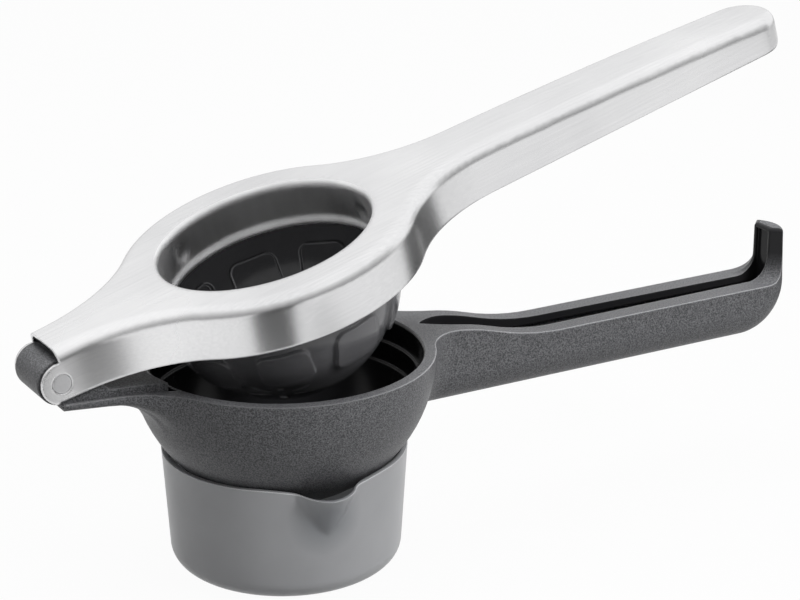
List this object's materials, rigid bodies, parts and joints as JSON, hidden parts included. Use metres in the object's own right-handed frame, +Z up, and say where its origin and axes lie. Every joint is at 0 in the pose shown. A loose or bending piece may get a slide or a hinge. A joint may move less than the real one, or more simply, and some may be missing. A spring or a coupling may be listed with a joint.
{
  "type": "citrus squeezer",
  "caption": "Hand citrus squeezer: steel ring lever with a smoky press dome, hinged to a grey bowl arm that stands in a translucent pouring cup.",
  "frame": {"origin": "middle of the cup's foot, on the surface it stands on", "axes": "+Z up, +X from the bowl towards the ends of the two grips, the pouring lip towards -Y"},
  "size_m": [0.2561, 0.0878, 0.1449],
  "materials": {
    "lever_steel": "brushed stainless sheet",
    "dome_plastic": "smoky clear moulding, smooth",
    "pin_steel": "turned and ground flush",
    "arm_plastic": "fine grained moulding",
    "cup_plastic": "frosted translucent moulding"
  },
  "bodies": {
    "cup": {"juice_cup": "cup_plastic"},
    "arm": {"lower_arm": "arm_plastic"},
    "lever": {"lever_shell": "lever_steel", "press_dome": "dome_plastic", "hinge_pin": "pin_steel"}
  },
  "joints": [
    {"name": "arm_lift", "type": "slide", "parent": "cup", "child": "arm", "axis": [0, 0, 1], "range_m": [0, 0.05]},
    {"name": "lever_hinge", "type": "hinge", "parent": "arm", "child": "lever", "pos_m": [-0.0712, 0, 0.07035], "axis": [0, -1, 0], "range_deg": [-16.2, 75]}
  ]
}
